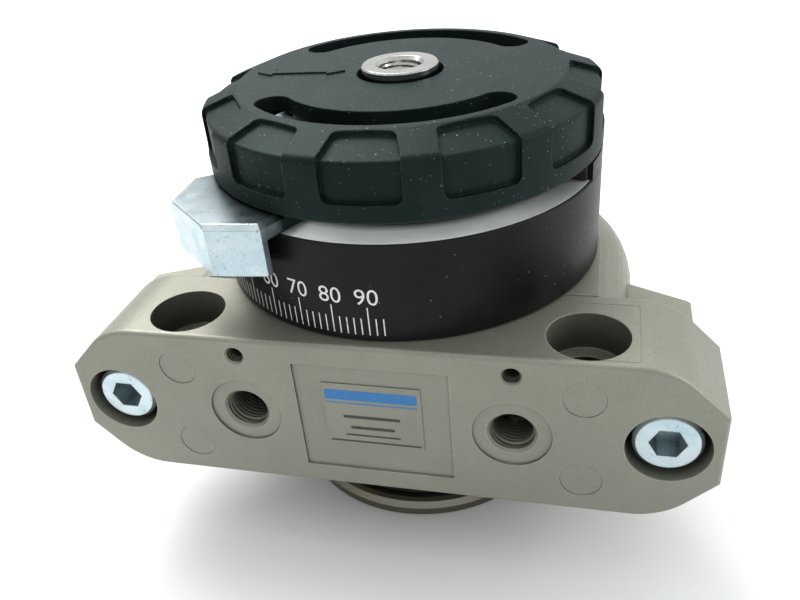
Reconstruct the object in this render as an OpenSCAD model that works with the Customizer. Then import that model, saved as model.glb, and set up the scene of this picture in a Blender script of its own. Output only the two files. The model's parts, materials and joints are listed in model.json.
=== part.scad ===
// Rotary vane actuator: flanged hollow shaft, swing scale, two adjustable stop levers, grip cap.
// Frame: origin at the centre of the output flange face, +Z up the shaft, +X along the body.

/* [Body] */
// Length of the front plate along X
plate_l = 130; // [128:0.5:134]
// Height of the body
plate_h = 35.5; // [35:0.1:36.5]
// Thickness of the front plate along Y
plate_t = 22.3; // [22:0.1:23]
// Distance from the shaft axis to the front face
front_reach = 43.1; // [42.8:0.1:44]
// Underside of the body above the flange face
body_z = 20.5; // [20.5:0.1:21]
// Size of the 45 degree cuts on the plate's corners
corner_cut = 10; // [9:0.1:10.5]
// Radius of the round wall of the rear shell
drum_r = 48.3; // [48:0.1:49]
// Radius of the flat pad under the scale ring
pad_r = 41.6; // [41.2:0.1:42]
// Reach of the clamping ears along X
ear_x = 59.6; // [59:0.1:61]

/* [Fastening] */
// Distance of the two body screws from the centre
screw_x = 55.2; // [55:0.1:55.6]
// Distance of the vertical fixing holes from the centre
fixing_x = 40.1; // [39.8:0.1:40.3]
// Distance of the fixing holes in front of the shaft axis
fixing_y = 34.25; // [34:0.05:34.5]
// Diameter of the vertical fixing holes
fixing_d = 9; // [8.6:0.1:9.2]
// Distance of the air ports from the centre
port_x = 27; // [26.8:0.1:27.2]
// Core diameter of the port thread
port_d = 8.6; // [8.5:0.1:8.7]
// Core diameter of the small tapped holes above the ports
small_d = 3.3; // [3.2:0.1:3.4]

/* [Stops and scale] */
// Radius of the scale ring
ring_r = 40.8; // [40.5:0.1:40.9]
// Height of the scale ring
ring_h = 20.2; // [20:0.1:20.3]
// Angle of the front lever from +X, clockwise seen from above
lever_angle = 132; // [130:1:133]
// Reach of the lever lug from the shaft axis
lever_reach = 50.1; // [49.5:0.1:51]
// Thickness of the lever arm
lever_t = 3.4; // [3.2:0.1:3.5]
// Height of the lever lug
lug_h = 10.5; // [9:0.1:11]
// How far each lever can be set back from the fixed stop
lever_travel = 22; // [16:1:22]
// Half angle of the fixed stop block
stop_half = 16; // [15:0.5:16.5]

/* [Cap] */
// Radius of the cap
cap_r = 40.85; // [40.5:0.05:41]
// Height of the cap
cap_h = 14.5; // [14.5:0.1:15]
// Number of grip recesses
grips = 12; // [8:1:14]
// Depth of the grip recesses
grip_depth = 0.95; // [0.6:0.05:1.1]
// Turn of the cap on the hub
cap_turn = 2.5; // [-5:0.5:5]
// Half angle of the key slots
slot_half = 49; // [45:0.5:50]

/* [Shaft] */
// Radius of the output flange
flange_r = 31.1; // [31:0.1:32]
// Number of tapped holes in the flange
flange_holes = 6; // [4:1:8]
// Pitch circle diameter of the flange holes
flange_pcd = 42; // [41:0.5:43]
// Radius of the shaft's upper end
end_r = 7.9; // [7.8:0.1:8.4]
// Radius of the bore through the shaft
hollow_r = 6; // [5.5:0.1:6]

/* [Hidden] */
$fn = 96;
e = 0.01;

// Heights
body_top = body_z + plate_h;
mid_z = body_z + plate_h / 2;
ring_z = body_top + 0.2;
ring_top = ring_z + ring_h;
lever_z = ring_top + 0.2;
lever_top = lever_z + lever_t;
cap_z = lever_top + 0.3;
cap_top = cap_z + cap_h;
shaft_top = cap_top + 1.6;

// Split between the front plate and the rear shell
plate_back = -front_reach + plate_t;
gasket_t = 0.4;
shell_front = plate_back + gasket_t;

// Air chamber and shaft steps
chamber_r = 33;
chamber_z = body_z + 5.5;
chamber_h = 22;
chamber_top = chamber_z + chamber_h;
hub_r = 14;
journal_r = 11;
seat_r = 10;
thread_r = 9.6;
low_journal_r = 15;
run_gap = 0.05;
stator_half = 65;

// Main ball bearing, 30 x 47 x 9
bearing_z = 10.5;
bearing_h = 9;
bearing_out = 23.5;
bearing_mid = (bearing_out + low_journal_r) / 2;
ball_r = 2.7;
balls = 14;
collar_r = 28.8;
collar_z = 8.6;
flange_rim_z = 2.1;
flange_top = 4;
flange_hub_r = 26;
flange_hub_z = 8.2;

// Stop base and hub
base_r = 38.1;
base_floor = body_top + 6;
cavity_r = 33;
step_z = ring_top - 2.9;
hub_disc_r = 32.3;
hub_disc_z = ring_top - 6.4;
hub_disc_top = lever_z - 0.1;
boss_r = 13.6;
boss_top = lever_top + 0.2;
nut_r = 13;
nut_h = 5.8;
base_screw_r = 29;
base_screw_angles = [35, 145, 215, 325];
clamp_r = 28;
clamp_slot_w = 5.4;
washer_t = 1;
clamp_nut_w = 7.8;
slot_margin = asin(clamp_slot_w / 2 / clamp_r) + 1;

// Screws: [core radius, head radius, head height, socket width across flats]
M4 = [1.62, 3.5, 4, 3];
M5 = [2.4, 4.25, 5, 4];
M8 = [3.35, 6.4, 8, 6];

anthracite = [0.07, 0.07, 0.08];
bronze_grey = [0.55, 0.52, 0.46];
bearing_steel = [0.62, 0.63, 0.65];
zinc = [0.76, 0.80, 0.84];
rubber_black = [0.05, 0.05, 0.05];

// ---- Helpers ----

// Ring between two radii, standing on z = 0
module ring(r_in, r_out, h) {
    difference() {
        cylinder(r = r_out, h = h);
        translate([0, 0, -1]) cylinder(r = r_in, h = h + 2);
    }
}

// Ring cut down to the angles from a0 to a1, less than 180 degrees apart
module ring_sector(r_in, r_out, h, a0, a1) {
    reach = r_out * 2.5;
    intersection() {
        ring(r_in, r_out, h);
        translate([0, 0, -1]) linear_extrude(h + 2)
            polygon(concat([[0, 0]], arc([0, 0], reach, a0, a1, 4)));
    }
}

// Arc slot between two radii, with round ends a little wider than the slot
module arc_slot(r_in, r_out, h, a0, a1) {
    mid = (r_in + r_out) / 2;
    relief = 0.05;
    ring_sector(r_in + relief, r_out - relief, h, a0, a1);
    for (a = [a0, a1]) rotate([0, 0, a]) translate([mid, 0, 0]) cylinder(r = (r_out - r_in) / 2, h = h);
}

// Cylinder along +Y from a point
module along_y(x, y, z, r, l) {
    translate([x, y, z]) rotate([-90, 0, 0]) cylinder(r = r, h = l);
}

// Countersink along +Y that narrows inwards
module sink_y(x, y, z, r_wide, r_narrow) {
    translate([x, y - e, z]) rotate([-90, 0, 0])
        cylinder(r1 = r_wide, r2 = r_narrow, h = r_wide - r_narrow + e);
}

// Socket-head screw: head on +Z above z = 0, shank of length l below
module socket_screw(size, l) {
    head = size[1];
    edge = size[2] * 0.08;
    difference() {
        union() {
            cylinder(r = head, h = size[2] - edge);
            translate([0, 0, size[2] - edge]) cylinder(r1 = head, r2 = head - edge, h = edge);
        }
        translate([0, 0, size[2] * 0.45]) cylinder(d = size[3] * 2 / sqrt(3), h = size[2], $fn = 6);
    }
    translate([0, 0, -l]) cylinder(r = size[0], h = l + e);
}

// Points of an arc about c
function arc(c, r, a0, a1, n = 8) =
    [for (i = [0:n]) c + r * [cos(a0 + (a1 - a0) * i / n), sin(a0 + (a1 - a0) * i / n)]];

// ---- Housing ----

// Outline of the plate, one quarter, with the blend between the flat and the corner cut
blend_r = 14;
blend_x = plate_l / 2 - corner_cut - blend_r * tan(22.5);
function plate_quarter(grow) =
    let (hx = plate_l / 2 + grow, hz = plate_h / 2 + grow)
    concat(
        [[hx, 0], [hx, hz - corner_cut]],
        arc([blend_x, hz - blend_r], blend_r, 45, 90, 8));

function mirror_x(points) = [for (i = [len(points) - 1:-1:0]) [-points[i].x, points[i].y]];
function mirror_z(points) = [for (i = [len(points) - 1:-1:0]) [points[i].x, -points[i].y]];
function plate_outline(grow) =
    let (upper = concat(plate_quarter(grow), mirror_x(plate_quarter(grow))))
    concat(upper, mirror_z(upper));

// Slab of the plate outline from y0 to y1
module plate_slab(y0, y1, grow) {
    translate([0, y1, mid_z]) rotate([90, 0, 0]) linear_extrude(y1 - y0) polygon(plate_outline(grow));
}

edge_r = 0.9;
recess_depth = 0.4;
recess_w = 30.8;
recess_h = 25.8;
label_w = 19.7;
label_h = 15.1;
label_rise = 1.3;
label_t = 0.2;
screw_sink = 9.5;
fixing_sink = 8;
fixing_sink_r = 7.65;
port_depth = 10;
small_z = body_top - 4.05;
mark_r = 4;
mark_z = 9.75;
passage_r = 2;
stator_sink = 6;
dowel_x = 46.5;
dowel_z = mid_z - 7.5;
stator_screw_x = 5;

// Shallow outline that a mould insert leaves round the right counterbore
module witness_line() {
    corner = 0.8;
    line_w = 0.25;
    line_depth = 0.04;
    left = 20;
    length = 28.5;
    front = -40.9;
    width = 16.9;
    translate([0, 0, body_top - line_depth]) linear_extrude(1) difference() {
        offset(r = corner) translate([left, front]) square([length, width]);
        offset(r = corner) translate([left - 5, front + line_w])
            square([length + 5 - line_w, width - 2 * line_w]);
    }
}

module front_plate() {
    color(bronze_grey) difference() {
        hull() for (a = [0:22.5:90])
            plate_slab(-front_reach + edge_r * (1 - sin(a)), plate_back, edge_r * (cos(a) - 1));
        for (s = [-1, 1]) {
            along_y(s * screw_x, -front_reach - 1, mid_z, 7.7, screw_sink + 1);
            along_y(s * screw_x, -front_reach, mid_z, 4.4, plate_t + 1);
            along_y(s * port_x, -front_reach - 1, mid_z, 7.6, 1 + recess_depth);
            sink_y(s * port_x, -front_reach + recess_depth, mid_z, port_d / 2 + 0.6, port_d / 2);
            along_y(s * port_x, -front_reach, mid_z, port_d / 2, port_depth);
            along_y(s * port_x, -front_reach, mid_z, passage_r, plate_t + 1);
            sink_y(s * port_x, -front_reach, small_z, small_d / 2 + 0.45, small_d / 2);
            along_y(s * port_x, -front_reach, small_z, small_d / 2, 7);
            for (t = [-1, 1])
                along_y(s * fixing_x, -front_reach - 1, mid_z + t * mark_z, mark_r, 1.15);
            translate([s * fixing_x, -fixing_y, body_top - fixing_sink])
                cylinder(r = fixing_sink_r, h = fixing_sink + 1);
            translate([s * fixing_x, -fixing_y, body_z - 1]) cylinder(d = fixing_d, h = plate_h + 2);
            along_y(s * dowel_x, plate_back - 6.5, dowel_z, 2.5, 7);
            along_y(s * stator_screw_x, -front_reach, mid_z, M4[1] + 0.2, stator_sink);
            along_y(s * stator_screw_x, -front_reach, mid_z, 2.2, plate_t + 1);
        }
        translate([-recess_w / 2, -front_reach - 1, mid_z - recess_h / 2])
            cube([recess_w, 1 + recess_depth, recess_h]);
        witness_line();
    }
}

// Section of the shell wall: distance out from the axis and height
shoulder = 6.7;
shoulder_h = 9.5;
pad_step = 0.35;
function shell_section() = concat(
    [[0, body_z]],
    [for (i = [0:8]) let (a = -90 + i * 90 / 8)
        [drum_r - shoulder + shoulder * cos(a), body_z + shoulder_h + shoulder_h * sin(a)]],
    [for (i = [0:8]) let (a = i * 90 / 8)
        [drum_r - shoulder + shoulder * cos(a), body_top - shoulder_h + (shoulder_h - pad_step) * sin(a)]],
    [[pad_r, body_top - pad_step], [pad_r, body_top], [0, body_top]]);

ear_inset = 5;
module ear() {
    translate([0, 0, body_z + ear_inset]) linear_extrude(plate_h - 2 * ear_inset)
        polygon([[30, shell_front], [ear_x, shell_front], [ear_x, -13.2], [ear_x - 0.8, -12.4],
            [drum_r - 0.4, -7], [30, -7]]);
}

module rear_shell() {
    color(bronze_grey) difference() {
        union() {
            intersection() {
                rotate_extrude() polygon(shell_section());
                translate([-60, 0, 0]) cube([120, 60, body_top + 1]);
            }
            for (s = [0, 1]) mirror([s, 0, 0]) {
                rotate([90, 0, 0]) linear_extrude(-shell_front) polygon(shell_section());
                ear();
            }
            translate([0, 0, collar_z]) cylinder(r = collar_r, h = body_z - collar_z + e);
        }
        translate([-collar_r - 1, shell_front - 20, body_z - run_gap]) cube([2 * collar_r + 2, 20, 1]);
        translate([0, 0, chamber_z]) cylinder(r = chamber_r, h = chamber_h);
        translate([0, 0, chamber_top - 1]) cylinder(r = hub_r, h = 20);
        translate([0, 0, 0]) cylinder(r = bearing_out, h = bearing_z + bearing_h);
        translate([0, 0, 0]) cylinder(r = low_journal_r + 3, h = chamber_z + 1);
        translate([0, 0, circlip_z]) cylinder(r = bearing_out + 1, h = circlip_t);
        for (s = [-1, 1]) {
            along_y(s * screw_x, shell_front - 1, mid_z, 3.4, 30);
            along_y(s * dowel_x, shell_front - 1, dowel_z, 2.5, 7.5);
            along_y(s * port_x, shell_front - 1, mid_z, passage_r, 8);
        }
        for (a = base_screw_angles) rotate([0, 0, a]) translate([base_screw_r, 0, body_top - 6.5])
            cylinder(r = 1.65, h = 10);
    }
}

module body_gasket() {
    inset = 0.8;
    wide = [2 * (drum_r - inset), plate_h - 2 * shoulder_h];
    tall = [2 * (pad_r - inset), plate_h - 2 * inset];
    color(rubber_black) translate([0, shell_front, 0]) rotate([90, 0, 0]) linear_extrude(gasket_t)
        difference() {
            for (size = [wide, tall]) translate([0, mid_z]) square(size, center = true);
            translate([-25.5, chamber_z + 0.2]) square([51, chamber_h - 0.4]);
            for (s = [-1, 1]) {
                translate([s * port_x, mid_z]) circle(r = passage_r);
                translate([s * dowel_x, dowel_z]) circle(r = 2.7);
            }
        }
}

module clamp_screws() {
    color(zinc) for (s = [-1, 1])
        translate([s * screw_x, -front_reach + screw_sink, mid_z]) rotate([90, 0, 0]) socket_screw(M8, 22);
}

module dowel_pins() {
    color(bearing_steel) for (s = [-1, 1]) along_y(s * dowel_x, plate_back - 6, dowel_z, 2.48, 12);
}

module label_plate() {
    color([0.6, 0.57, 0.5])
        translate([-label_w / 2, -front_reach + recess_depth - label_t, mid_z + label_rise - label_h / 2])
            cube([label_w, label_t, label_h]);
}

// Fixed partition that closes the front of the chamber
module stator() {
    gap = 0.05;
    color([0.7, 0.7, 0.7]) difference() {
        intersection() {
            translate([0, 0, chamber_z + gap]) rotate([0, 0, -90])
                ring_sector(hub_r + 0.15, chamber_r - gap, chamber_h - 2 * gap, -stator_half, stator_half);
            translate([-40, shell_front, chamber_z]) cube([80, 60, chamber_h]);
        }
        for (s = [-1, 1]) {
            along_y(s * port_x, shell_front - 1, mid_z, passage_r, 20);
            along_y(s * stator_screw_x, shell_front - 1, mid_z, M4[0] + 0.05, 6);
        }
        translate([-1.5, -hub_r - 3, chamber_z]) cube([3, 4, chamber_h]);
    }
}

module stator_seal() {
    color(rubber_black) difference() {
        translate([-1.45, -hub_r - 2.95, chamber_z + 0.1]) cube([2.9, 4, chamber_h - 0.2]);
        translate([0, 0, chamber_z]) cylinder(r = hub_r + run_gap, h = chamber_h);
    }
}

module stator_screws() {
    color(zinc) for (s = [-1, 1])
        translate([s * stator_screw_x, -front_reach + stator_sink, mid_z]) rotate([90, 0, 0])
            socket_screw(M4, 21);
}

module upper_shaft_seal() {
    color(rubber_black) translate([0, 0, chamber_top + 0.1]) ring(journal_r + run_gap, hub_r, 2.4);
}

module upper_bearing() {
    color([0.66, 0.5, 0.3]) translate([0, 0, chamber_top + 2.7]) ring(journal_r + run_gap, hub_r, 10.8);
}

module lower_shaft_seal() {
    color(rubber_black) translate([0, 0, body_z + 0.6])
        ring(low_journal_r + run_gap, low_journal_r + 3, chamber_z - body_z - 0.8);
}

// Torus-shaped ball track
module ball_track() {
    translate([0, 0, bearing_z + bearing_h / 2])
        rotate_extrude() translate([bearing_mid, 0]) circle(r = ball_r + 0.08, $fn = 48);
}

module bearing_outer_ring() {
    color(bearing_steel) difference() {
        translate([0, 0, bearing_z]) ring(bearing_mid + 1.6, bearing_out - 0.03, bearing_h);
        ball_track();
    }
}

module bearing_inner_ring() {
    color(bearing_steel) difference() {
        translate([0, 0, bearing_z]) ring(low_journal_r + 0.01, bearing_mid - 1.6, bearing_h);
        ball_track();
    }
}

module bearing_balls() {
    color([0.8, 0.8, 0.82]) for (i = [0:balls - 1]) rotate([0, 0, i * 360 / balls])
        translate([bearing_mid, 0, bearing_z + bearing_h / 2]) sphere(r = ball_r, $fn = 32);
}

// Crown cage: a ring under the balls with a pocket for each
module bearing_cage() {
    color([0.72, 0.55, 0.3]) difference() {
        translate([0, 0, bearing_z + 0.6]) ring(bearing_mid - 1.1, bearing_mid + 1.1, 2.8);
        for (i = [0:balls - 1]) rotate([0, 0, i * 360 / balls])
            translate([bearing_mid, 0, bearing_z + bearing_h / 2]) sphere(r = ball_r + 0.1, $fn = 32);
    }
}

circlip_z = 9.2;
circlip_t = 1.2;
module bearing_circlip() {
    color(bearing_steel) difference() {
        translate([0, 0, circlip_z + 0.05]) ring(bearing_out - 2, bearing_out + 0.9, circlip_t - 0.1);
        translate([-2.5, -bearing_out - 3, 0]) cube([5, 8, 20]);
    }
}

module flange_seal() {
    color(rubber_black) translate([0, 0, flange_top + 0.1]) ring(flange_hub_r + 0.05, 27.9, 4.1);
}

// ---- Stop system on the housing ----

stop_screw_r = 36.3;
stop_screw_angles = [-8, 8];
M3_core_r = 1.22;
M3_head_r = 2.6;
stop_hole_r = 1.6;
stop_head_z = lever_t - 1.7;

module stop_base() {
    color([0.74, 0.74, 0.74]) difference() {
        union() {
            translate([0, 0, body_top]) cylinder(r = base_r, h = ring_top - body_top);
            translate([0, 0, step_z]) cylinder(r = ring_r - 0.55, h = ring_top - step_z);
        }
        translate([0, 0, base_floor]) cylinder(r = cavity_r, h = 40);
        translate([0, 0, body_top - 1]) cylinder(r = hub_r, h = 20);
        for (a = base_screw_angles) rotate([0, 0, a]) translate([base_screw_r, 0, 0]) {
            translate([0, 0, base_floor - M4[2]]) cylinder(r = M4[1] + 0.2, h = 10);
            cylinder(r = 2.2, h = base_floor + 1);
        }
        for (a = stop_screw_angles) rotate([0, 0, a]) translate([stop_screw_r, 0, ring_top - 9])
            cylinder(r = M3_core_r + 0.03, h = 10);
    }
}

module scale_ring() {
    lip = ring_r - 0.5;
    color(anthracite) rotate_extrude() polygon([[base_r + 0.05, ring_z], [ring_r - 0.3, ring_z],
        [ring_r, ring_z + 0.3], [ring_r, ring_top - 0.25], [ring_r - 0.25, ring_top],
        [lip, ring_top], [lip, step_z - 0.05], [base_r + 0.05, step_z - 0.05]]);
}

module base_screws() {
    color(zinc) for (a = base_screw_angles) rotate([0, 0, a])
        translate([base_screw_r, 0, base_floor - M4[2]]) socket_screw(M4, 8);
}

module fixed_stop() {
    color(anthracite) difference() {
        translate([0, 0, ring_top]) ring_sector(33.4, ring_r, lever_t + 0.2, -stop_half, stop_half);
        for (a = stop_screw_angles) rotate([0, 0, a]) translate([stop_screw_r, 0, ring_top]) {
            translate([0, 0, -1]) cylinder(r = stop_hole_r, h = 10);
            translate([0, 0, stop_head_z]) cylinder(r1 = stop_hole_r, r2 = M3_head_r + 0.1, h = 1.2);
            translate([0, 0, stop_head_z + 1.2 - e]) cylinder(r = M3_head_r + 0.1, h = 2);
        }
    }
}

module cushion_pads() {
    pad_end = stop_half + 1.7;
    color([0.15, 0.13, 0.1]) for (s = [0, 1]) mirror([0, s, 0])
        translate([0, 0, ring_top + 0.3]) ring_sector(34, ring_r - 1, lever_t - 0.4, stop_half, pad_end);
}

module stop_screws() {
    color(zinc) for (a = stop_screw_angles) rotate([0, 0, a]) translate([stop_screw_r, 0, ring_top]) {
        translate([0, 0, -8]) cylinder(r = M3_core_r, h = 8 + stop_head_z + e);
        difference() {
            translate([0, 0, stop_head_z]) cylinder(r1 = stop_hole_r - 0.1, r2 = M3_head_r, h = 1.2);
            translate([0, 0, stop_head_z + 0.4]) cylinder(d = 2.3, h = 3, $fn = 6);
        }
    }
}

// ---- Shaft ----

module output_shaft() {
    rim = 0.3;
    color([0.72, 0.7, 0.66]) difference() {
        union() {
            rotate_extrude() polygon([[0, 0], [flange_r - rim, 0], [flange_r, rim],
                [flange_r, flange_rim_z], [flange_r - 1, flange_rim_z + 1.2],
                [flange_r - 1.9, flange_top - 0.15], [flange_r - 2.6, flange_top],
                [flange_hub_r, flange_top], [flange_hub_r, flange_hub_z], [0, flange_hub_z]]);
            cylinder(r = 17, h = bearing_z);
            cylinder(r = low_journal_r, h = chamber_z - run_gap);
            cylinder(r = hub_r, h = chamber_top - 0.1);
            cylinder(r = journal_r, h = hub_disc_z - 0.1);
            cylinder(r = seat_r, h = boss_top - 0.5);
            cylinder(r = thread_r, h = boss_top + nut_h + 0.5);
            cylinder(r = end_r, h = shaft_top - rim);
            translate([0, 0, shaft_top - rim - e]) cylinder(r1 = end_r, r2 = end_r - rim, h = rim + e);
        }
        translate([0, 0, -1]) cylinder(r = 12.5, h = 4);
        cylinder(r = hollow_r, h = shaft_top - 12);
        cylinder(d = port_d, h = shaft_top + 1);
        translate([0, 0, shaft_top - 0.7]) cylinder(r1 = port_d / 2, r2 = port_d / 2 + 0.72, h = 0.72);
        for (i = [0:flange_holes - 1]) rotate([0, 0, i * 360 / flange_holes])
            translate([flange_pcd / 2, 0, -1]) cylinder(r = 2.1, h = 8);
        translate([-5.05, 12, chamber_z]) cube([10.1, 10, chamber_h]);
        for (z = vane_screw_heights) along_y(0, 8, z, 1.65, 8);
        translate([-seat_r - 5, -2.5, hub_disc_z]) cube([7.6, 5, hub_disc_top - hub_disc_z]);
    }
}

vane_screw_heights = [mid_z - 6, mid_z + 3.5];
vane_screw = [1.6, 3.1, 4, 3];
vane_tip = 31;
module vane() {
    color([0.62, 0.64, 0.66]) difference() {
        union() {
            translate([-3.5, 12.05, chamber_z + 1.4]) cube([7, vane_tip - 12.05, chamber_h - 2.8]);
            translate([-5, 12.05, chamber_z + 1.4]) cube([10, 3, chamber_h - 2.8]);
        }
        for (z = vane_screw_heights) {
            along_y(0, 5, z, 2.1, 40);
            along_y(0, vane_tip - 6, z, 3.2, 10);
        }
    }
}

module vane_seal() {
    color(rubber_black) difference() {
        intersection() {
            translate([-5, 15.1, chamber_z + 0.08]) cube([10, 25, chamber_h - 0.16]);
            translate([0, 0, chamber_z]) cylinder(r = chamber_r - 0.08, h = chamber_h);
        }
        translate([-3.52, 10, chamber_z + 1.38]) cube([7.04, vane_tip - 10 + 0.02, chamber_h - 2.76]);
    }
}

module vane_screws() {
    color(zinc) for (z = vane_screw_heights)
        translate([0, vane_tip - 6, z]) rotate([-90, 0, 0]) socket_screw(vane_screw, vane_tip - 6 - 8.5);
}

module stop_hub() {
    color([0.6, 0.6, 0.62]) difference() {
        union() {
            translate([0, 0, hub_disc_z]) cylinder(r = hub_disc_r, h = hub_disc_top - hub_disc_z);
            translate([0, 0, hub_disc_z]) cylinder(r = boss_r, h = boss_top - hub_disc_z);
        }
        translate([0, 0, hub_disc_z - 1]) cylinder(r = seat_r + 0.02, h = 20);
        translate([-12.3, -2.5, hub_disc_z - 1]) cube([6, 5, hub_disc_top - hub_disc_z + 1]);
        for (s = [0, 1]) mirror([0, s, 0]) translate([0, 0, hub_disc_z - 1])
            arc_slot(clamp_r - clamp_slot_w / 2, clamp_r + clamp_slot_w / 2, 20,
                lever_angle - slot_margin + 5, lever_angle + lever_travel + slot_margin - 5);
    }
}

module hub_key() {
    color(bearing_steel) translate([-12.25, -2.45, hub_disc_z + 0.1])
        cube([4.8, 4.9, hub_disc_top - hub_disc_z - 0.3]);
}

module hub_nut() {
    color([0.3, 0.3, 0.32]) difference() {
        translate([0, 0, boss_top]) cylinder(r = nut_r, h = nut_h);
        translate([0, 0, boss_top - 1]) cylinder(r = thread_r + 0.02, h = nut_h + 2);
        for (a = [45:90:315]) rotate([0, 0, a]) translate([nut_r - 1.5, -2, boss_top - 1])
            cube([4, 4, nut_h + 2]);
    }
}

// ---- Cap ----

cap_wall = 3;
cap_hole_r = 8.9;
sleeve_t = 2.5;
rib_r = 21.3;
rib_t = 1.5;
rib_gap = 1.2;
mark_rise = 0.35;
cap_edge_z = cap_top - 2.8;
cap_edge_r = 33.2;
slot_in = 24.7;
slot_out = 31.7;
grip_z = cap_z + 3.7;
grip_w = 7.2;
grip_top_w = 5.9;
grip_in = cap_edge_r + 0.4;
grip_corner = 1.5;

// Outer section of the cap, drawn in by some depth: side, round edge, slope up to the flat top
edge_blend = 1.6;
slope = atan2(cap_top - cap_edge_z, cap_r - cap_edge_r);
function cap_skin(depth) =
    let (drop = edge_blend * tan((90 - slope) / 2), c = [cap_r - edge_blend, cap_edge_z - drop])
    concat(arc(c, edge_blend - depth, 0, 90 - slope, 5), [[cap_edge_r, cap_top - depth / cos(slope)]]);

// Recess seen along the radius: straight sides and round lower corners
function grip_front() = concat(
    arc([-grip_w + grip_corner, grip_z + grip_corner], grip_corner, 180, 270, 5),
    arc([grip_w - grip_corner, grip_z + grip_corner], grip_corner, 270, 360, 5),
    [[grip_w, cap_top + 5], [-grip_w, cap_top + 5]]);

// Recess seen from above: narrower towards the axis, with round inner corners
function grip_plan() = concat(
    arc([grip_in + grip_corner, grip_top_w - grip_corner], grip_corner, 90, 180, 5),
    arc([grip_in + grip_corner, grip_corner - grip_top_w], grip_corner, 180, 270, 5),
    [[cap_r - 1.5, -grip_w], [cap_r + 5, -grip_w - 2], [cap_r + 5, grip_w + 2], [cap_r - 1.5, grip_w]]);

// Underside of the cap: the sleeve that clips over the nut, then the rib behind the key slots
function cap_inside() =
    let (roof = cap_top - cap_wall, seat = boss_top + nut_h + 0.1, foot = boss_top + 1.5)
    [[0, cap_top], [0, roof], [thread_r + 0.6, roof], [thread_r + 0.6, seat], [nut_r + 0.03, seat],
        [nut_r + 0.03, foot], [nut_r + sleeve_t, foot], [nut_r + sleeve_t, roof],
        [rib_r, roof], [rib_r, lever_top + rib_gap], [rib_r + rib_t, lever_top + rib_gap],
        [rib_r + rib_t, roof],
        [cap_edge_r - 2, roof], [cap_r - cap_wall, cap_edge_z - 2], [cap_r - cap_wall, cap_z]];

// Raised double arrow that shows the two ways the cap turns
module arrow_mark() {
    bar = 0.9;
    head = 2.1;
    head_l = 3.6;
    from = -30.5;
    to = -11.5;
    translate([0, 0, cap_top - e]) linear_extrude(mark_rise + e)
        polygon([[from, 0], [from + head_l, -head], [from + head_l, -bar], [to - head_l, -bar],
            [to - head_l, -head], [to, 0], [to - head_l, head], [to - head_l, bar],
            [from + head_l, bar], [from + head_l, head]]);
}

module grip() {
    skin = cap_skin(grip_depth);
    intersection() {
        rotate_extrude() polygon(concat([[cap_r - grip_depth, grip_z - 1]], skin,
            [[cap_edge_r - 2, cap_top + 5], [cap_r + 5, cap_top + 5], [cap_r + 5, grip_z - 1]]));
        rotate([90, 0, 90]) linear_extrude(cap_r + 3) polygon(grip_front());
        linear_extrude(cap_top + 3) polygon(grip_plan());
    }
}

module cap() {
    color(anthracite) rotate([0, 0, cap_turn]) difference() {
        union() {
            rotate_extrude()
                polygon(concat([[cap_r - 0.4, cap_z], [cap_r, cap_z + 0.4]], cap_skin(0), cap_inside()));
            arrow_mark();
        }
        cylinder(r = cap_hole_r, h = cap_top + 1);
        for (a = [-90, 90]) translate([0, 0, cap_top - cap_wall - 1])
            arc_slot(slot_in, slot_out, cap_wall + 2, a - slot_half, a + slot_half);
        for (i = [0:grips - 1]) rotate([0, 0, 90 + i * 360 / grips]) grip();
    }
}

// ---- Stop levers ----

// Half width of the arm at a distance from the axis
function arm_half(u) = 2.1 + 0.31 * u;
lug_in = ring_r + 0.35;
lug_shoulder = 42.4;
lug_end = 8;

// Crossing of two lines, each given by a unit normal and its distance from the axis
function meet(a, da, b, db) = [da * b.y - db * a.y, a.x * db - b.x * da] / cross(a, b);

// Half outline from one distance outwards: arm flank, lug shoulder and tip, each drawn in by its own cut
function lever_half(from, flank_cut, shoulder_cut, tip_cut) =
    let (flank = atan2(arm_half(1) - arm_half(0), 1),
        flank_n = [-sin(flank), cos(flank)],
        shoulder_a = atan2(arm_half(lug_shoulder) - lug_end, lever_reach - lug_shoulder),
        shoulder_n = [sin(shoulder_a), cos(shoulder_a)],
        flank_d = arm_half(0) * cos(flank) - flank_cut,
        shoulder_d = lever_reach * shoulder_n.x + lug_end * shoulder_n.y - shoulder_cut)
    [meet([1, 0], from, flank_n, flank_d), meet(flank_n, flank_d, shoulder_n, shoulder_d),
        meet([1, 0], lever_reach - tip_cut, shoulder_n, shoulder_d)];

module lever_outline(from, flank_cut = 0, shoulder_cut = 0, tip_cut = 0) {
    half = lever_half(from, flank_cut, shoulder_cut, tip_cut);
    polygon(concat(half, [for (i = [2:-1:0]) [half[i].x, -half[i].y]]));
}

// Lever drawn along +X
module lever() {
    cut = 1;
    tip_cut = 0.3;
    arm_in = 8;
    difference() {
        union() {
            translate([0, 0, lever_z]) hull() {
                linear_extrude(lever_t - cut) lever_outline(arm_in);
                linear_extrude(lever_t - tip_cut) lever_outline(arm_in, cut, cut);
                linear_extrude(lever_t) lever_outline(arm_in, cut, cut, tip_cut);
            }
            translate([0, 0, lever_top - lug_h]) hull() {
                linear_extrude(tip_cut) lever_outline(lug_in, tip_cut, tip_cut, tip_cut);
                translate([0, 0, tip_cut]) linear_extrude(lug_h - cut - tip_cut) lever_outline(lug_in);
            }
        }
        translate([0, 0, lever_z - 1]) cylinder(r = boss_r + 0.3, h = 10);
        translate([clamp_r, 0, lever_z - 1]) cylinder(r = 2.7, h = 10);
    }
}

module clamp_screw() {
    translate([clamp_r, 0, lever_top + washer_t]) socket_screw(M5, 14.5);
}

module clamp_washer() {
    translate([clamp_r, 0, lever_top]) ring(2.7, 5, washer_t);
}

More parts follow.
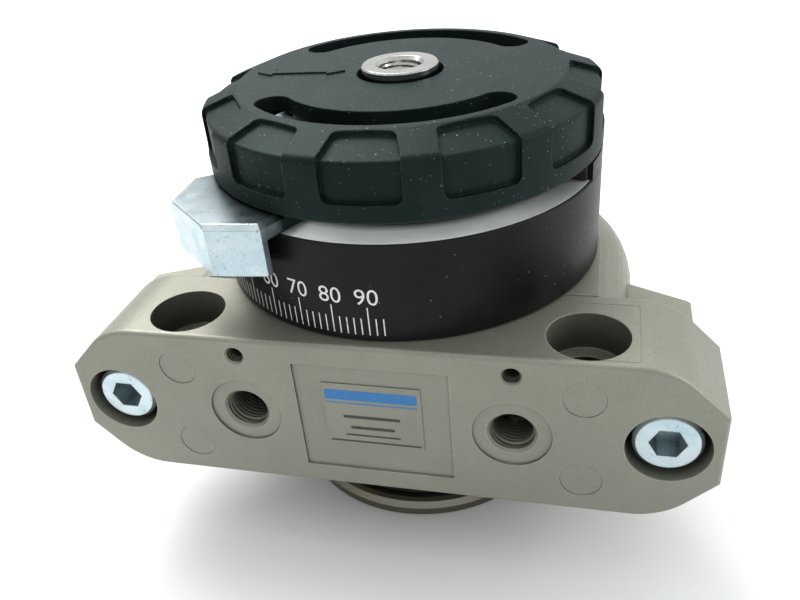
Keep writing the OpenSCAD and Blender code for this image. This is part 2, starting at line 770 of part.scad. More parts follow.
module clamp_nut() {
    difference() {
        translate([clamp_r - clamp_nut_w / 2, -clamp_nut_w / 2, hub_disc_z - 4.1])
            cube([clamp_nut_w, clamp_nut_w, 4]);
        translate([clamp_r, 0, 0]) cylinder(r = 2.45, h = 100);
    }
}

module at_front() { rotate([0, 0, -lever_angle]) children(); }
module at_rear() { rotate([0, 0, lever_angle]) children(); }

module front_lever() { color(zinc) at_front() lever(); }
module front_clamp_screw() { color(anthracite) at_front() clamp_screw(); }
module front_clamp_washer() { color(anthracite) at_front() clamp_washer(); }
module front_clamp_nut() { color(bearing_steel) at_front() clamp_nut(); }
module rear_lever() { color(zinc) at_rear() lever(); }
module rear_clamp_screw() { color(anthracite) at_rear() clamp_screw(); }
module rear_clamp_washer() { color(anthracite) at_rear() clamp_washer(); }
module rear_clamp_nut() { color(bearing_steel) at_rear() clamp_nut(); }

front_plate();
rear_shell();
body_gasket();
clamp_screws();
dowel_pins();
label_plate();
stator();
stator_seal();
stator_screws();
upper_bearing();
upper_shaft_seal();
lower_shaft_seal();
bearing_outer_ring();
bearing_inner_ring();
bearing_balls();
bearing_cage();
bearing_circlip();
flange_seal();
stop_base();
scale_ring();
base_screws();
fixed_stop();
cushion_pads();
stop_screws();
output_shaft();
vane();
vane_seal();
vane_screws();
stop_hub();
hub_key();
hub_nut();
cap();
front_lever();
front_clamp_screw();
front_clamp_washer();
front_clamp_nut();
rear_lever();
rear_clamp_screw();
rear_clamp_washer();
rear_clamp_nut();
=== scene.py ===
"""Looks of the rotary vane actuator: materials, scale, label marks, threads, floor, light and camera."""
import json
import math

import bpy
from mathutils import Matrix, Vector


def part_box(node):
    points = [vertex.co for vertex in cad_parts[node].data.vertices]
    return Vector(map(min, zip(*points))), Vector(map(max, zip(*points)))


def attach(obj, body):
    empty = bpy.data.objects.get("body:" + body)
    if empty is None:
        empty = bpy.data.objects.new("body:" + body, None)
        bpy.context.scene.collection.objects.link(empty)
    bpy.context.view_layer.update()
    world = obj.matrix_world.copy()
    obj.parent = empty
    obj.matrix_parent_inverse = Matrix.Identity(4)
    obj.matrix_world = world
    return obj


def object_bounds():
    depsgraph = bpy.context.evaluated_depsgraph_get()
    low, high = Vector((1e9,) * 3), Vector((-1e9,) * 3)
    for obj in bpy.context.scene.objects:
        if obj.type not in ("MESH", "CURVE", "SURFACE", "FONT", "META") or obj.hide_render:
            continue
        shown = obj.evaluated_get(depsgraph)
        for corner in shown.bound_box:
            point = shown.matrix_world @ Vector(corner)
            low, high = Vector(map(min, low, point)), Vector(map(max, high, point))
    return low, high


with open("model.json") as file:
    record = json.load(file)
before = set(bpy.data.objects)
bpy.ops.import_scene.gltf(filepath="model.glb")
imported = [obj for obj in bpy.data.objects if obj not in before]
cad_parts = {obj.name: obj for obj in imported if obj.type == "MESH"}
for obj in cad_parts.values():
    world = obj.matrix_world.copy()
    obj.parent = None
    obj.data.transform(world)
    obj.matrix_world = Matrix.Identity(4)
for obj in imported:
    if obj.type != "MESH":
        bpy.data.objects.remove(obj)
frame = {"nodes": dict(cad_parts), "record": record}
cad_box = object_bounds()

MM = 0.001

# ---- Camera, at the main view's angle ----
CAMERA_PLACE = (0.0407, -0.1578, 0.1414)
CAMERA_TURN = (58.006, 4.629, 13.151)  # degrees about X, Y and Z
LENS_MM = 36.12
SENSOR_MM = 36.0
EXPOSURE = 0.2
GAMMA = 0.86

# ---- Light and floor, in metres and watts ----
SKY_LOW, SKY_HIGH = -0.05, 0.65  # heights between which the sky brightens
SKY_TINT = (0.985, 1.0, 1.0)
SKY_FLOOR = 0.16
OVERHEAD = 0.84
BEHIND = 0.45
KEY_PLACE = (-0.33, 0.33, 0.72)
KEY_SIZE = (0.6, 0.5)
KEY_WATTS = 5.2
SIDE_PLACE = (0.70, 0.05, 0.35)
SIDE_SIZE = (0.3, 0.5)
SIDE_WATTS = 1.3
AIM = (0, 0, 0.06)
FLOOR_REACH = 3.0

# ---- Printed scale on the ring ----
SCALE_ZERO = -179.0  # angle of the 0 mark on the front half, degrees from +X
SCALE_STEP = 2
SCALE_LAST = 94
NUMBER_STEP = 10
NUMBER_LAST = 90
TICK_FOOT = 1.3 * MM  # above the ring's lower edge
TICK_SHORT = 3.7 * MM
TICK_LONG = 6.1 * MM
TICK_WIDTH = 0.26 * MM
DIGIT_FOOT = 7.95 * MM
DIGIT_HEIGHT = 3.3 * MM
INK = 0.03 * MM
CORNER_STEPS = 5  # per quarter turn, on the label's marks

# ---- Threads ----
PIPE_PITCH = 0.907 * MM  # G1/8 in the ports and the shaft's end
PIPE_DEEP = 0.42 * MM
PIPE_FOOT = 1.0 * MM  # start of the turns behind the plate's face
PIPE_SHORT = 1.5 * MM  # what the turns lack of the port's depth
SMALL_PITCH = 0.7 * MM  # M4 in the two small holes
SMALL_DEEP = 0.28 * MM
SMALL_FOOT = 0.6 * MM
SMALL_LENGTH = 5.0 * MM
SHAFT_TURNS = 11
SHAFT_LEAD_IN = 0.8 * MM
THREAD_CLEAR = 0.01 * MM  # gap between the turns and the plain bore
THREAD_STEPS = 36  # per turn
RUN_OUT = 0.75  # turns

# ---- Where painted shade starts on turned and covered parts ----
CAP_RIM = (39.5 * MM, 42.5 * MM)  # distance from the axis: painted shade under the cap, open
TURNED_RIM = (33.0 * MM, 35.5 * MM)
FLANGE_TOP = (5.0 * MM, 12.0 * MM)  # height: painted shade, bright


# ---- Node helpers ----

def node(tree, kind, inputs=None, **settings):
    """Adds a shader node. An input is a number, a colour or another node's output."""
    made = tree.nodes.new("ShaderNode" + kind)
    for key, value in settings.items():
        setattr(made, key, value)
    for key, value in (inputs or {}).items():
        if isinstance(value, bpy.types.NodeSocket):
            tree.links.new(value, made.inputs[key])
        else:
            made.inputs[key].default_value = value
    return made


def rgb(red, green, blue):
    """Opaque linear colour."""
    return (red, green, blue, 1.0)


def math_node(tree, operation, a, b=0.0):
    """Output of one Math node."""
    return node(tree, "Math", {0: a, 1: b}, operation=operation).outputs[0]


def times(tree, a, b):
    """Product, mostly of two masks."""
    return math_node(tree, "MULTIPLY", a, b)


def blend(tree, a, b):
    """The greater of two masks."""
    return math_node(tree, "MAXIMUM", a, b)


def noise(tree, place, per_metre, detail=3.0, roughness=0.55):
    """Noise from 0 to 1, with per_metre spots to the metre."""
    return node(tree, "TexNoise", {"Vector": place, "Scale": per_metre, "Detail": detail,
                                   "Roughness": roughness}).outputs["Fac"]


def stretch(tree, value, low, high, to_low=0.0, to_high=1.0):
    """Maps low..high to to_low..to_high, and holds it there outside."""
    return node(tree, "MapRange", {"Value": value, "From Min": low, "From Max": high,
                                   "To Min": to_low, "To Max": to_high}).outputs["Result"]


def mix(tree, share, a, b):
    """Colour a where share is 0 and b where it is 1."""
    mixed = node(tree, "Mix", {"Factor": share}, data_type="RGBA")
    for key, value in ((6, a), (7, b)):
        if isinstance(value, bpy.types.NodeSocket):
            tree.links.new(value, mixed.inputs[key])
        else:
            mixed.inputs[key].default_value = value
    return mixed.outputs[2]


def edge_mask(tree, radius):
    """1 along sharp outer and inner edges, 0 on open faces."""
    soft = node(tree, "Bevel", {"Radius": radius}, samples=4).outputs["Normal"]
    true = node(tree, "NewGeometry").outputs["Normal"]
    alike = node(tree, "VectorMath", {0: soft, 1: true}, operation="DOT_PRODUCT").outputs["Value"]
    return stretch(tree, alike, 0.999, 0.86)


def recess_mask(tree, reach, deep=0.15, shallow=0.75):
    """1 deep in holes and sockets of the same solid, 0 on open faces."""
    open_share = node(tree, "AmbientOcclusion", {"Distance": reach}, samples=6, only_local=True).outputs["AO"]
    return stretch(tree, open_share, deep, shallow, 1.0, 0.0)


def shade_mask(tree, reach):
    """1 close under or beside any solid, 0 where nothing is near."""
    open_share = node(tree, "AmbientOcclusion", {"Distance": reach}, samples=6).outputs["AO"]
    return stretch(tree, open_share, 0.42, 0.97, 1.0, 0.0)


def from_axis(tree, place):
    """Distance from the Z axis."""
    x, y, _ = node(tree, "SeparateXYZ", {0: place}).outputs
    square = math_node(tree, "ADD", times(tree, x, x), times(tree, y, y))
    return math_node(tree, "SQRT", square)


def upward_mask(tree):
    """1 on faces that look straight up."""
    normal = node(tree, "NewGeometry").outputs["Normal"]
    return stretch(tree, node(tree, "SeparateXYZ", {0: normal}).outputs[2], 0.9, 1.0)


def height_of(tree, place):
    """Height above the flange's face."""
    return node(tree, "SeparateXYZ", {0: place}).outputs[2]


def lathe_lines(tree, place, spacing):
    """Fine turning marks round the Z axis: rings on flat faces, hoops on round ones."""
    along = math_node(tree, "ADD", from_axis(tree, place), height_of(tree, place))
    return node(tree, "TexNoise", {"W": along, "Scale": 1.0 / spacing, "Detail": 2.0},
                noise_dimensions="1D").outputs["Fac"]


def start_material(name):
    """An empty material, its node tree and the Object coordinates, which are metres in the shared frame."""
    made = bpy.data.materials.new(name)
    made.use_nodes = True
    made.node_tree.nodes.clear()
    tree = made.node_tree
    place = node(tree, "TexCoord").outputs["Object"]
    return made, tree, place


def close_material(tree, colour, roughness, metallic, height=None, depth=0.0, round_edge=0.0, **extra):
    """Principled surface with an optional bump and softly rounded edges."""
    looks = {"Base Color": colour, "Roughness": roughness, "Metallic": metallic}
    surface = node(tree, "BsdfPrincipled", looks)
    for key, value in extra.items():
        surface.inputs[key.replace("_", " ")].default_value = value
    normal = None
    if round_edge:
        normal = node(tree, "Bevel", {"Radius": round_edge}, samples=4).outputs["Normal"]
    if height is not None:
        bump = {"Height": height, "Distance": depth, "Strength": 1.0}
        if normal is not None:
            bump["Normal"] = normal
        normal = node(tree, "Bump", bump).outputs["Normal"]
    if normal is not None:
        tree.links.new(normal, surface.inputs["Normal"])
    out = node(tree, "OutputMaterial")
    tree.links.new(surface.outputs[0], out.inputs[0])


def specks(tree, place, cell, size, share, stretch_along=1.0, turn=0.0):
    """Scattered dust: round specks, or fibres where stretched. Sizes in metres."""
    scale = (1.0, 1.0 / stretch_along, 1.0)
    turns = (turn, turn * 0.7, turn)
    spread = node(tree, "Mapping", {"Vector": place, "Rotation": turns, "Scale": scale}).outputs[0]
    cells = node(tree, "TexVoronoi", {"Vector": spread, "Scale": 1.0 / cell})
    near = stretch(tree, cells.outputs["Distance"], size * 0.4 / cell, size * 0.6 / cell, 1.0, 0.0)
    pick = node(tree, "SeparateColor", {0: cells.outputs["Color"]}).outputs[0]
    return times(tree, near, math_node(tree, "LESS_THAN", pick, share))


# ---- Materials ----

def cast_housing():
    """Bead-blasted, anodised die casting: warm grey, with a fine painted glint on the grain and lighter edges
    that are partly wear and partly a painted highlight.

    Holes are darkened inside with painted shade; the upward floor deep in the counterbores is lighter, partly
    a bare machined seat and partly a painted highlight.
    """
    made, tree, place = start_material("cast_housing")
    cloud = noise(tree, place, 55.0, 5.0)
    grain = noise(tree, place, 5200.0, 2.0, 0.6)
    fleck = noise(tree, place, 2300.0, 2.0, 0.7)
    fade = stretch(tree, cloud, 0.3, 0.7)
    colour = mix(tree, fade, rgb(0.268, 0.268, 0.222), rgb(0.298, 0.297, 0.248))
    # Painted glint: a fine lighter speckle on the grain.
    colour = mix(tree, stretch(tree, grain, 0.52, 0.74, 0.0, 0.38), colour, rgb(0.50, 0.50, 0.44))
    colour = mix(tree, stretch(tree, fleck, 0.30, 0.42, 0.36, 0.0), colour, rgb(0.17, 0.172, 0.14))
    # Lighter edges: partly wear, partly a painted highlight.
    wear = stretch(tree, cloud, 0.35, 0.6, 0.20, 0.58)
    worn = times(tree, edge_mask(tree, 0.45 * MM), wear)
    colour = mix(tree, worn, colour, rgb(0.58, 0.58, 0.52))
    # Painted shade: holes and counterbores darkened deep inside.
    recess = recess_mask(tree, 13.0 * MM, 0.30, 0.82)
    colour = mix(tree, times(tree, recess, 0.93), colour, rgb(0.030, 0.029, 0.017))
    # Lighter upward floor deep in the counterbores: partly a bare machined seat, partly a painted highlight.
    seat_and_highlight = times(tree, stretch(tree, recess, 0.80, 0.98, 0.0, 0.85), upward_mask(tree))
    colour = mix(tree, seat_and_highlight, colour, rgb(0.55, 0.55, 0.47))
    rough = stretch(tree, noise(tree, place, 500.0), 0.3, 0.7, 0.40, 0.50)
    close_material(tree, colour, rough, 0.45, grain, 0.012 * MM, 0.35 * MM)
    return made


def black_anodised():
    """Satin black anodised aluminium with a few specks of dust."""
    made, tree, place = start_material("black_anodised")
    fine = noise(tree, place, 2500.0, 2.0)
    cloud = noise(tree, place, 130.0, 3.0)
    fade = stretch(tree, cloud, 0.3, 0.7)
    colour = mix(tree, fade, rgb(0.0070, 0.0085, 0.0080), rgb(0.0110, 0.0140, 0.0130))
    rub = times(tree, edge_mask(tree, 0.3 * MM), 0.22)
    colour = mix(tree, rub, colour, rgb(0.12, 0.13, 0.13))
    dots = specks(tree, place, 1.5 * MM, 0.26 * MM, 0.22)
    dashes = specks(tree, place, 2.4 * MM, 0.16 * MM, 0.2, 6.0, 1.4)
    dust = blend(tree, dots, dashes)
    colour = mix(tree, times(tree, dust, 0.6), colour, rgb(0.30, 0.32, 0.31))
    rough = stretch(tree, fine, 0.3, 0.7, 0.34, 0.46)
    close_material(tree, colour, rough, 0.0, fine, 0.010 * MM, 0.25 * MM, Specular_IOR_Level=0.22)
    return made


def cap_plastic():
    """Moulded black plastic: fine grain, paler rubbed edges, dust specks and short fibres, and painted shade
    deep in its slots and recesses.
    """
    made, tree, place = start_material("cap_plastic")
    grain = noise(tree, place, 3600.0, 2.0, 0.65)
    cloud = noise(tree, place, 110.0, 4.0)
    edges = edge_mask(tree, 0.45 * MM)
    fade = stretch(tree, cloud, 0.3, 0.7)
    colour = mix(tree, fade, rgb(0.0066, 0.0135, 0.0126), rgb(0.0112, 0.0210, 0.0195))
    rub = times(tree, edges, stretch(tree, cloud, 0.35, 0.65, 0.12, 0.38))
    colour = mix(tree, rub, colour, rgb(0.085, 0.115, 0.11))
    small = specks(tree, place, 0.75 * MM, 0.22 * MM, 0.20)
    large = specks(tree, place, 2.1 * MM, 0.36 * MM, 0.25)
    fibre_one = specks(tree, place, 1.7 * MM, 0.16 * MM, 0.16, 8.0, 0.9)
    fibre_two = specks(tree, place, 2.1 * MM, 0.17 * MM, 0.16, 7.0, 2.3)
    caught = times(tree, specks(tree, place, 0.42 * MM, 0.24 * MM, 0.5), edges)
    dust = blend(tree, blend(tree, blend(tree, small, large), blend(tree, fibre_one, fibre_two)), caught)
    settled = stretch(tree, noise(tree, place, 60.0, 3.0), 0.36, 0.62, 0.15, 0.85)
    colour = mix(tree, times(tree, dust, settled), colour, rgb(0.30, 0.34, 0.33))
    # Painted shade: slots and recesses darkened deep inside.
    colour = mix(tree, recess_mask(tree, 6.0 * MM), colour, rgb(0.004, 0.005, 0.005))
    rough = stretch(tree, grain, 0.3, 0.7, 0.42, 0.56)
    close_material(tree, colour, rough, 0.0, grain, 0.014 * MM, 0.45 * MM, Specular_IOR_Level=0.20,
                   Specular_Tint=rgb(0.74, 1.0, 0.98))
    return made


def zinc_plate(name, tone, painted_lever_shade):
    """Blue-white zinc plating with faint iridescent clouds, yellowed edges and pits.

    tone scales the colour. Sockets and holes get painted shade. A lever gets more painted shade: greyer on
    top, and dark where it runs under the cap or lies close beside other solids.
    """
    made, tree, place = start_material(name)

    def shade(red, green, blue):
        return rgb(red * tone, green * tone, blue * tone)

    cloud = noise(tree, place, 150.0, 3.0)
    grain = noise(tree, place, 2400.0, 3.0)
    colour = mix(tree, stretch(tree, cloud, 0.36, 0.55), shade(0.46, 0.58, 0.62), shade(0.57, 0.66, 0.69))
    colour = mix(tree, stretch(tree, cloud, 0.56, 0.72, 0.0, 0.7), colour, shade(0.61, 0.60, 0.64))
    colour = mix(tree, stretch(tree, grain, 0.35, 0.65, 0.25, 0.0), colour, shade(0.38, 0.43, 0.44))
    # Painted shade: a lever's upward faces greyer, standing for less light reflected off its top.
    if painted_lever_shade:
        speckled = stretch(tree, grain, 0.3, 0.7, 1.0, 0.75)
        painted_top_shade = times(tree, upward_mask(tree), speckled)
        colour = mix(tree, painted_top_shade, colour, shade(0.27, 0.31, 0.325))
    stained = times(tree, edge_mask(tree, 0.5 * MM), 0.45)
    colour = mix(tree, stained, colour, shade(0.62, 0.64, 0.51))
    pits = stretch(tree, noise(tree, place, 1500.0, 2.0, 0.7), 0.60, 0.68)
    patch = stretch(tree, noise(tree, place, 260.0, 2.0), 0.46, 0.58)
    pits = times(tree, pits, patch)
    colour = mix(tree, times(tree, pits, 0.7), colour, rgb(0.20, 0.24, 0.22))
    # Painted shade: sockets and holes darkened deep inside.
    painted_recess_shade = times(tree, recess_mask(tree, 4.5 * MM), 0.80)
    colour = mix(tree, painted_recess_shade, colour, rgb(0.035, 0.06, 0.07))
    # Painted shade: a lever darkened under the cap and close beside other solids.
    if painted_lever_shade:
        under_cap = stretch(tree, from_axis(tree, place), *CAP_RIM, 1.0, 0.0)
        shaded = times(tree, shade_mask(tree, 9.0 * MM), 0.85)
        near = blend(tree, shaded, under_cap)
        colour = mix(tree, near, colour, rgb(0.036, 0.056, 0.060))
    rough = stretch(tree, noise(tree, place, 420.0), 0.3, 0.7, 0.26, 0.38)
    close_material(tree, colour, rough, 0.9, grain, 0.016 * MM, 0.3 * MM)
    return made


def turned_metal(name, low, high, roughness, spacing, depth, painted_shade_colour, painted_shade_range, metallic=1.0, across=False):
    """Metal turned on a lathe about the shaft axis, with fine lines, slight stains and bright edges that are
    partly rubbed wear and partly a painted highlight.

    It takes a dark colour of painted shade low on the shaft or, when across is set, near the axis.
    """
    made, tree, place = start_material(name)
    lines = lathe_lines(tree, place, spacing)
    stain = noise(tree, place, 140.0, 4.0)
    share = times(tree, math_node(tree, "ADD", lines, stain), 0.5)
    colour = mix(tree, stretch(tree, share, 0.35, 0.65), rgb(*low), rgb(*high))
    where = from_axis(tree, place) if across else height_of(tree, place)
    # Painted shade: darker low on the flange under the body, or near the axis under the cap.
    colour = mix(tree, stretch(tree, where, *painted_shade_range, 0.92, 0.0), colour, rgb(*painted_shade_colour))
    # Bright edges: partly rubbed wear, partly a painted highlight.
    rubbed = times(tree, edge_mask(tree, 0.3 * MM), 0.5)
    colour = mix(tree, rubbed, colour, rgb(*high))
    rough = stretch(tree, lines, 0.3, 0.7, *roughness)
    close_material(tree, colour, rough, metallic, lines, depth, 0.2 * MM)
    return made


def plain_metal(name, colour_low, colour_high, rough_low, rough_high, metallic=1.0, round_edge=0.2 * MM):
    """Machined or plated metal with a fine grain, clouded tone and worn edges."""
    made, tree, place = start_material(name)
    grain = noise(tree, place, 2400.0, 3.0)
    cloud = noise(tree, place, 240.0, 3.0)
    colour = mix(tree, stretch(tree, cloud, 0.3, 0.7), rgb(*colour_low), rgb(*colour_high))
    wear = times(tree, edge_mask(tree, round_edge), 0.4)
    colour = mix(tree, wear, colour, rgb(*[min(1.0, 1.5 * c + 0.05) for c in colour_high]))
    rough = stretch(tree, grain, 0.3, 0.7, rough_low, rough_high)
    close_material(tree, colour, rough, metallic, grain, 0.008 * MM, round_edge)
    return made


def moulded_rubber(name, colour_low, colour_high):
    """Matt black elastomer with a fine grain."""
    made, tree, place = start_material(name)
    grain = noise(tree, place, 1800.0, 3.0)
    cloud = stretch(tree, noise(tree, place, 200.0), 0.3, 0.7)
    colour = mix(tree, cloud, rgb(*colour_low), rgb(*colour_high))
    rough = stretch(tree, grain, 0.3, 0.7, 0.55, 0.75)
    close_material(tree, colour, rough, 0.0, grain, 0.02 * MM, 0.2 * MM)
    return made


def printed_ink(name, colour_full, colour_worn, roughness):
    """Screen-printed ink, thinner in small spots."""
    made, tree, place = start_material(name)
    spots = noise(tree, place, 2600.0, 3.0)
    colour = mix(tree, stretch(tree, spots, 0.58, 0.72), rgb(*colour_full), rgb(*colour_worn))
    rough = stretch(tree, spots, 0.3, 0.7, roughness - 0.08, roughness + 0.08)
    close_material(tree, colour, rough, 0.0, spots, 0.004 * MM)
    return made


def label_film():
    """Metallised label, a shade lighter and smoother than the casting."""
    made, tree, place = start_material("label_film")
    grain = noise(tree, place, 2000.0, 2.0)
    cloud = stretch(tree, noise(tree, place, 150.0), 0.3, 0.7)
    colour = mix(tree, cloud, rgb(0.272, 0.272, 0.228), rgb(0.300, 0.299, 0.252))
    rough = stretch(tree, grain, 0.3, 0.7, 0.42, 0.50)
    close_material(tree, colour, rough, 0.45, grain, 0.008 * MM, 0.1 * MM)
    return made


def dress_nodes():
    """Gives every CAD node its material."""
    steel = plain_metal("ground_steel", (0.52, 0.53, 0.55), (0.66, 0.67, 0.69), 0.22, 0.34)
    oxide = plain_metal("black_oxide", (0.03, 0.03, 0.034), (0.06, 0.06, 0.066), 0.32, 0.45, 0.7)
    bronze = plain_metal("bearing_bronze", (0.42, 0.27, 0.12), (0.56, 0.38, 0.19), 0.35, 0.5)
    alloy = plain_metal("milled_alloy", (0.55, 0.55, 0.56), (0.68, 0.68, 0.69), 0.3, 0.45)
    rubber = moulded_rubber("seal_rubber", (0.012, 0.012, 0.012), (0.03, 0.03, 0.03))
    buffer = moulded_rubber("buffer_elastomer", (0.02, 0.018, 0.015), (0.04, 0.036, 0.03))
    lever_zinc = zinc_plate("lever_zinc", tone=1.0, painted_lever_shade=True)
    screw_zinc = zinc_plate("screw_zinc", tone=1.08, painted_lever_shade=False)
    housing = cast_housing()
    anodised = black_anodised()
    # Painted shade: nickel darkened low on the flange, turned alloy darkened near the axis under the cap.
    nickel = turned_metal("nickel_plate", (0.36, 0.36, 0.34), (0.52, 0.52, 0.50), (0.12, 0.20),
                          spacing=0.10 * MM, depth=0.004 * MM,
                          painted_shade_colour=(0.195, 0.19, 0.148), painted_shade_range=FLANGE_TOP)
    turned = turned_metal("turned_alloy", (0.68, 0.71, 0.68), (0.81, 0.84, 0.81), (0.30, 0.42),
                          spacing=0.12 * MM, depth=0.006 * MM,
                          painted_shade_colour=(0.045, 0.05, 0.05), painted_shade_range=TURNED_RIM, metallic=0.35, across=True)
    cap = cap_plastic()
    film = label_film()
    by_material = {
        housing: ["front_plate", "rear_shell"],
        anodised: ["scale_ring", "fixed_stop"],
        cap: ["cap"],
        lever_zinc: ["front_lever", "rear_lever"],
        screw_zinc: ["clamp_screws", "stator_screws", "base_screws", "stop_screws", "vane_screws"],
        nickel: ["output_shaft"],
        turned: ["stop_base", "stop_hub"],
        steel: ["dowel_pins", "bearing_outer_ring", "bearing_inner_ring", "bearing_balls", "bearing_circlip",
                "hub_key", "front_clamp_nut", "rear_clamp_nut"],
        oxide: ["hub_nut", "front_clamp_screw", "front_clamp_washer",
                "rear_clamp_screw", "rear_clamp_washer"],
        bronze: ["upper_bearing", "bearing_cage"],
        alloy: ["stator", "vane"],
        rubber: ["body_gasket", "stator_seal", "upper_shaft_seal", "lower_shaft_seal",
                 "flange_seal", "vane_seal"],
        buffer: ["cushion_pads"],
        film: ["label_plate"],
    }
    for material, names in by_material.items():
        for name in names:
            slots = frame["nodes"][name].data.materials
            slots.clear()
            slots.append(material)
    return {"housing": housing, "nickel": nickel}


# ---- Mesh helpers ----

def piece(name, vertices, faces, material, body):
    """Adds a flat-shaded mesh that rides on a body and shares a node's material slot."""
    mesh = bpy.data.meshes.new(name)
    mesh.from_pydata([tuple(v) for v in vertices], [], faces)
    mesh.validate()
    mesh.materials.append(material)
    made = bpy.data.objects.new(name, mesh)
    bpy.context.collection.objects.link(made)
    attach(made, body)


def on_ring(radius, angle, height):
    """Point on a circle round the Z axis, angle in degrees from +X."""
    turn = math.radians(angle)
    return (radius * math.cos(turn), radius * math.sin(turn), height)


# ---- Printed scale ----

def both_halves(value):
    """Signs of a mark's copies: front and mirrored rear, or a single one at 0."""
    return (1,) if value == 0 else (1, -1)


def scale_marks(ink):
    """Ticks every two degrees and a number every ten, on the front and mirrored on the rear."""
    low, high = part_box("scale_ring")
    radius = high.x + INK * 0.3
    vertices, faces = [], []

    def patch(angle, foot, top, half_angle):
        start = len(vertices)
        for turn in (-half_angle, half_angle):
            for height in (foot, top):
                vertices.append(on_ring(radius, angle + turn, height))
        faces.append((start, start + 2, start + 3, start + 1))

    half = math.degrees(TICK_WIDTH / 2 / radius)
    for value in range(0, SCALE_LAST + 1, SCALE_STEP):
        length = TICK_LONG if value % NUMBER_STEP == 0 else TICK_SHORT
        foot = low.z + TICK_FOOT
        for side in both_halves(value):
            patch(side * (SCALE_ZERO + value), foot, foot + length, half)
    piece("scale_ticks", vertices, faces, ink, "housing")
    scale_numbers(ink, radius, low.z + DIGIT_FOOT)


def number_outline(text, height):
    """Flat vertices and faces of a number, centred on x = 0, with its foot at y = 0."""
    curve = bpy.data.curves.new("number", "FONT")
    curve.body = text
    curve.align_x = "CENTER"
    curve.resolution_u = 4
    shaped = bpy.data.objects.new("number", curve)
    bpy.context.collection.objects.link(shaped)
    bpy.context.view_layer.update()
    evaluated = shaped.evaluated_get(bpy.context.evaluated_depsgraph_get())
    mesh = bpy.data.meshes.new_from_object(evaluated)
    vertices = [v.co.copy() for v in mesh.vertices]
    faces = [tuple(f.vertices) for f in mesh.polygons]
    bpy.data.objects.remove(shaped)
    tall = max(v.y for v in vertices)
    return [Vector((v.x * height / tall, v.y * height / tall, 0)) for v in vertices], faces


def scale_numbers(ink, radius, foot):
    """The numbers above the long ticks, wrapped round the ring."""
    vertices, faces = [], []
    for value in range(0, NUMBER_LAST + 1, NUMBER_STEP):
        flat, flat_faces = number_outline(str(value), DIGIT_HEIGHT)
        for side in both_halves(value):
            start = len(vertices)
            middle = side * (SCALE_ZERO + value)
            vertices += [on_ring(radius, middle + math.degrees(v.x / radius), foot + v.y) for v in flat]
            faces += [tuple(start + i for i in face) for face in flat_faces]
    piece("scale_numbers", vertices, faces, ink, "housing")


# ---- Label marks ----

def label_marks(blue, dark):
    """A plain blue bar with a rule under it, and four thin lines, on the label."""
    low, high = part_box("label_plate")
    front = low.y - INK * 0.5
    width = high.x - low.x
    tall = high.z - low.z

    def bar(name, left, right, foot, top, material, corner):
        x0, x1 = low.x + width * left, low.x + width * right
        z0, z1 = low.z + tall * foot, low.z + tall * top
        r = (z1 - z0) * corner
        points = []
        corners = ((x1 - r, z1 - r, 0), (x0 + r, z1 - r, 90), (x0 + r, z0 + r, 180), (x1 - r, z0 + r, 270))
        for cx, cz, start in corners:
            for step in range(CORNER_STEPS + 1):
                a = math.radians(start + 90 * step / CORNER_STEPS)
                points.append((cx + r * math.cos(a), front, cz + r * math.sin(a)))
        piece(name, points, [tuple(range(len(points)))], material, "housing")

    bar("label_bar", 0.02, 0.96, 0.74, 0.90, blue, 0.2)
    bar("label_underline", 0.02, 0.96, 0.68, 0.70, blue, 0.5)
    # left, right, foot and height of each line, as shares of the label
    rows = ((0.185, 0.775, 0.44, 0.05),
            (0.25, 0.71, 0.26, 0.05),
            (0.19, 0.76, 0.14, 0.03),
            (0.02, 0.97, 0.03, 0.03))
    for i, (left, right, foot, tall_share) in enumerate(rows):
        bar(f"label_line_{i + 1}", left, right, foot, foot + tall_share, dark, 0.5)


# ---- Threads ----

def thread(name, material, body, foot, axis, side, r_bore, deep, pitch, length):
    """Female thread: a V-shaped helix just inside a bore, from foot along axis, run out at both ends."""
    r_root = r_bore - THREAD_CLEAR
    r_crest = r_bore - deep
    turns = length / pitch
    count = int(THREAD_STEPS * turns)
    run_out = THREAD_STEPS * RUN_OUT
    axis = Vector(axis)
    side = Vector(side)
    up = axis.cross(side)
    profile = ((0.0, r_root), (0.5, r_crest), (1.0, r_root))
    vertices, faces = [], []
    for i in range(count + 1):
        turn = 2 * math.pi * i / THREAD_STEPS
        out = side * math.cos(turn) + up * math.sin(turn)
        full = min(1.0, i / run_out, (count - i) / run_out)
        for rise, radius in profile:
            reach = r_root + (radius - r_root) * full
            vertices.append(Vector(foot) + axis * (pitch * (i / THREAD_STEPS + rise)) + out * reach)
    for i in range(count):
        for j in range(2):
            a = 3 * i + j
            faces.append((a, a + 1, a + 4, a + 3))
    piece(name, vertices, faces, material, body)


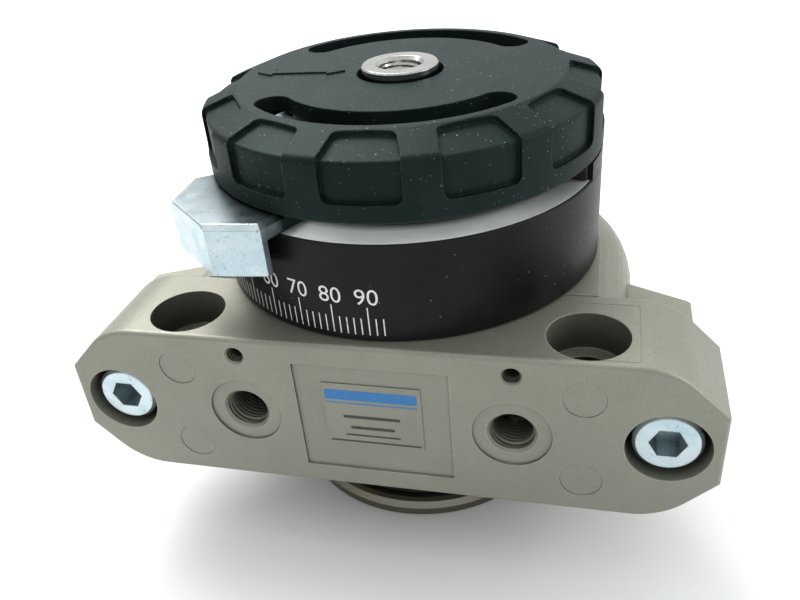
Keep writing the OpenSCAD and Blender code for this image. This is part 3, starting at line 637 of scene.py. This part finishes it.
def threads(materials):
    """Turns in the ports, in the two small tapped holes and in the shaft's upper end."""
    mounts = {mount["name"]: mount for mount in frame["record"]["mounts"]}
    plate_low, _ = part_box("front_plate")
    for name, mount in mounts.items():
        if not name.startswith("port_"):
            continue
        x, _, z = mount["pos_m"]
        depth = mount["dims"]["length_mm"] * MM
        thread(name + "_thread", materials["housing"], "housing",
               (x, plate_low.y + PIPE_FOOT, z), (0, 1, 0), (1, 0, 0),
               mount["dims"]["r_mm"] * MM, PIPE_DEEP, PIPE_PITCH, depth - PIPE_SHORT)
    small = mounts["bracket_holes"]
    half = small["dims"]["spacing_x_mm"] * MM / 2
    for label, x in (("left", -half), ("right", half)):
        thread(f"bracket_{label}_thread", materials["housing"], "housing",
               (x, plate_low.y + SMALL_FOOT, small["pos_m"][2]), (0, 1, 0), (1, 0, 0),
               small["dims"]["hole_r_mm"] * MM, SMALL_DEEP, SMALL_PITCH, SMALL_LENGTH)
    _, shaft_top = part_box("output_shaft")
    foot = shaft_top.z - SHAFT_LEAD_IN - (SHAFT_TURNS + 1) * PIPE_PITCH
    thread("shaft_end_thread", materials["nickel"], "shaft",
           (0, 0, foot), (0, 0, 1), (0, -1, 0),
           mounts["shaft_thread"]["dims"]["r_mm"] * MM, PIPE_DEEP, PIPE_PITCH, SHAFT_TURNS * PIPE_PITCH)


# ---- Floor, light, camera ----

def floor():
    """Pale floor at the height of the part's foot."""
    made, tree, place = start_material("pale_floor")
    tone = noise(tree, place, 6.0, 2.0)
    colour = mix(tree, stretch(tree, tone, 0.3, 0.7), rgb(0.80, 0.80, 0.815), rgb(0.83, 0.83, 0.84))
    close_material(tree, colour, stretch(tree, tone, 0.3, 0.7, 0.55, 0.65), 0.0)
    mesh = bpy.data.meshes.new("floor")
    signs = ((-1, -1), (1, -1), (1, 1), (-1, 1))
    corners = [(x * FLOOR_REACH, y * FLOOR_REACH, 0) for x, y in signs]
    mesh.from_pydata(corners, [], [(0, 1, 2, 3)])
    mesh.materials.append(made)
    plane = bpy.data.objects.new("floor", mesh)
    plane.location.z = cad_box[0].z
    bpy.context.collection.objects.link(plane)


def softbox(name, place, size, watts):
    """Rectangular lamp aimed at the middle of the part."""
    light = bpy.data.lights.new(name, "AREA")
    light.shape = "RECTANGLE"
    light.size, light.size_y = size
    light.energy = watts
    made = bpy.data.objects.new(name, light)
    made.location = place
    made.rotation_euler = (Vector(AIM) - Vector(place)).to_track_quat("-Z", "Y").to_euler()
    bpy.context.collection.objects.link(made)


def lighting():
    """Bright sky overhead and behind, dark towards the viewer, with two soft lamps."""
    world = bpy.data.worlds.new("studio")
    bpy.context.scene.world = world
    world.use_nodes = True
    tree = world.node_tree
    tree.nodes.clear()
    axes = node(tree, "SeparateXYZ", {0: node(tree, "TexCoord").outputs["Generated"]}).outputs
    over = stretch(tree, axes[2], SKY_LOW, SKY_HIGH, 0.0, OVERHEAD)
    behind = stretch(tree, axes[1], 0.0, 0.9, 0.0, BEHIND)
    level = math_node(tree, "ADD", math_node(tree, "ADD", over, behind), SKY_FLOOR)
    back = node(tree, "Background", {"Color": rgb(*SKY_TINT), "Strength": level})
    out = node(tree, "OutputWorld")
    tree.links.new(back.outputs[0], out.inputs[0])
    softbox("key_softbox", KEY_PLACE, KEY_SIZE, KEY_WATTS)
    softbox("side_softbox", SIDE_PLACE, SIDE_SIZE, SIDE_WATTS)


def camera():
    """The main view."""
    data = bpy.data.cameras.new("camera")
    data.sensor_width = SENSOR_MM
    data.lens = LENS_MM
    data.clip_start, data.clip_end = 0.005, 20.0
    made = bpy.data.objects.new("camera", data)
    made.location = CAMERA_PLACE
    made.rotation_euler = [math.radians(a) for a in CAMERA_TURN]
    bpy.context.collection.objects.link(made)
    bpy.context.scene.camera = made


materials = dress_nodes()
scale_marks(printed_ink("scale_ink", (0.72, 0.72, 0.68), (0.30, 0.30, 0.29), 0.5))
label_marks(printed_ink("blue_ink", (0.040, 0.205, 0.46), (0.10, 0.27, 0.50), 0.45),
            printed_ink("dark_ink", (0.06, 0.055, 0.05), (0.16, 0.15, 0.13), 0.5))
threads(materials)
floor()
lighting()
camera()
view = bpy.context.scene.view_settings
view.view_transform = "Standard"
view.exposure = EXPOSURE
view.gamma = GAMMA
